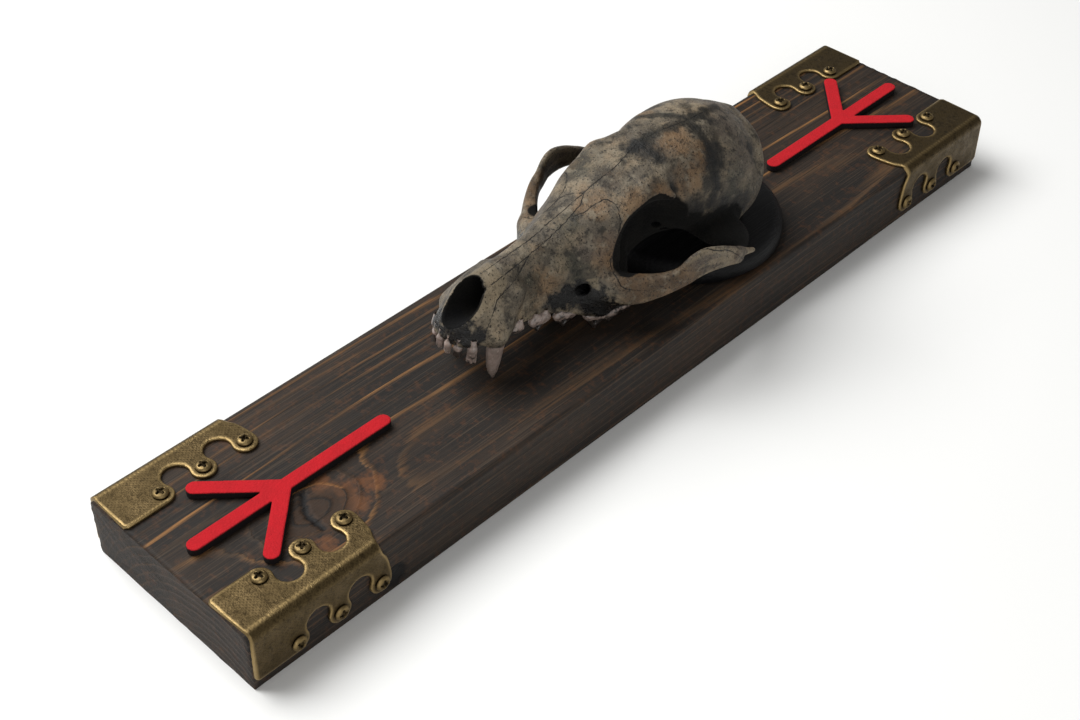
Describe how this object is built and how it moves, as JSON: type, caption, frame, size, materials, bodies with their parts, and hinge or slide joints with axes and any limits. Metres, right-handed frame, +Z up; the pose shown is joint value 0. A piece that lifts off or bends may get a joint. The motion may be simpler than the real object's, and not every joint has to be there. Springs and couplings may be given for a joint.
{
  "type": "mounted fox skull",
  "caption": "Life-size red fox skull with its upper teeth, resting on a black disc on a dark stained plank with brass corner plates and red three-tined ornaments.",
  "frame": {"origin": "middle of the plank's underside, where the stand meets the floor", "axes": "+Z up, +Y along the plank from the snout to the back of the skull, +X to the animal's left"},
  "size_m": [0.0906, 0.4, 0.0838],
  "materials": {
    "bone": "aged bone, grey tan and olive brown, with a satin surface and dark stains",
    "tooth": "enamel, off-white with brown stain at the neck, glossy",
    "stained_wood": "pine, brushed and stained dark brown, with a dull surface",
    "black_wood": "wood stained black, satin",
    "antique_brass": "pressed sheet, patinated dark with rubbed edges",
    "screw_metal": "dark antique plating with rubbed rims",
    "red_fibreboard": "matte red paint on 3 mm fibreboard with a fuzzy face and darker cut sides"
  },
  "bodies": {
    "root": {"skull": "bone", "plank": "stained_wood", "rest_disc": "black_wood", "corner_plate_1": "antique_brass", "screw_top_1_1": "screw_metal", "screw_side_1_1": "screw_metal", "screw_top_1_2": "screw_metal", "screw_side_1_2": "screw_metal", "screw_top_1_3": "screw_metal", "screw_side_1_3": "screw_metal", "corner_plate_2": "antique_brass", "screw_top_2_1": "screw_metal", "screw_side_2_1": "screw_metal", "screw_top_2_2": "screw_metal", "screw_side_2_2": "screw_metal", "screw_top_2_3": "screw_metal", "screw_side_2_3": "screw_metal", "corner_plate_3": "antique_brass", "screw_top_3_1": "screw_metal", "screw_side_3_1": "screw_metal", "screw_top_3_2": "screw_metal", "screw_side_3_2": "screw_metal", "screw_top_3_3": "screw_metal", "screw_side_3_3": "screw_metal", "corner_plate_4": "antique_brass", "screw_top_4_1": "screw_metal", "screw_side_4_1": "screw_metal", "screw_top_4_2": "screw_metal", "screw_side_4_2": "screw_metal", "screw_top_4_3": "screw_metal", "screw_side_4_3": "screw_metal", "ornament_near": "red_fibreboard", "ornament_far": "red_fibreboard"}
  },
  "joints": []
}
